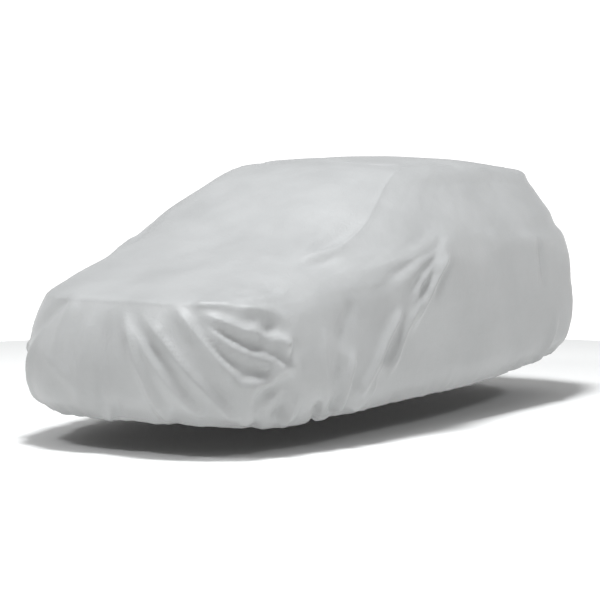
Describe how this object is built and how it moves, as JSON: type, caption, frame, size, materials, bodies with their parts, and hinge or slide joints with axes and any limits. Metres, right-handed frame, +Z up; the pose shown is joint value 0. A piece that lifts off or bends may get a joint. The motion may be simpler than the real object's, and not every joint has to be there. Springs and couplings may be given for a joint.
{
  "type": "car cover",
  "caption": "Fitted silver-grey cloth cover draped over a small hatchback, hollow underneath, with a gathered hem and soft folds.",
  "frame": {"origin": "the place on the underside of the roof where the car's roof carries the cover", "axes": "+Z up, +Y towards the car's tail, +X towards the car's left-hand side"},
  "size_m": [2.0054, 3.9749, 1.3182],
  "materials": {
    "coated_cloth": "satin silver-grey coated polyester"
  },
  "bodies": {
    "root": {"car_cover": "coated_cloth"}
  },
  "joints": []
}
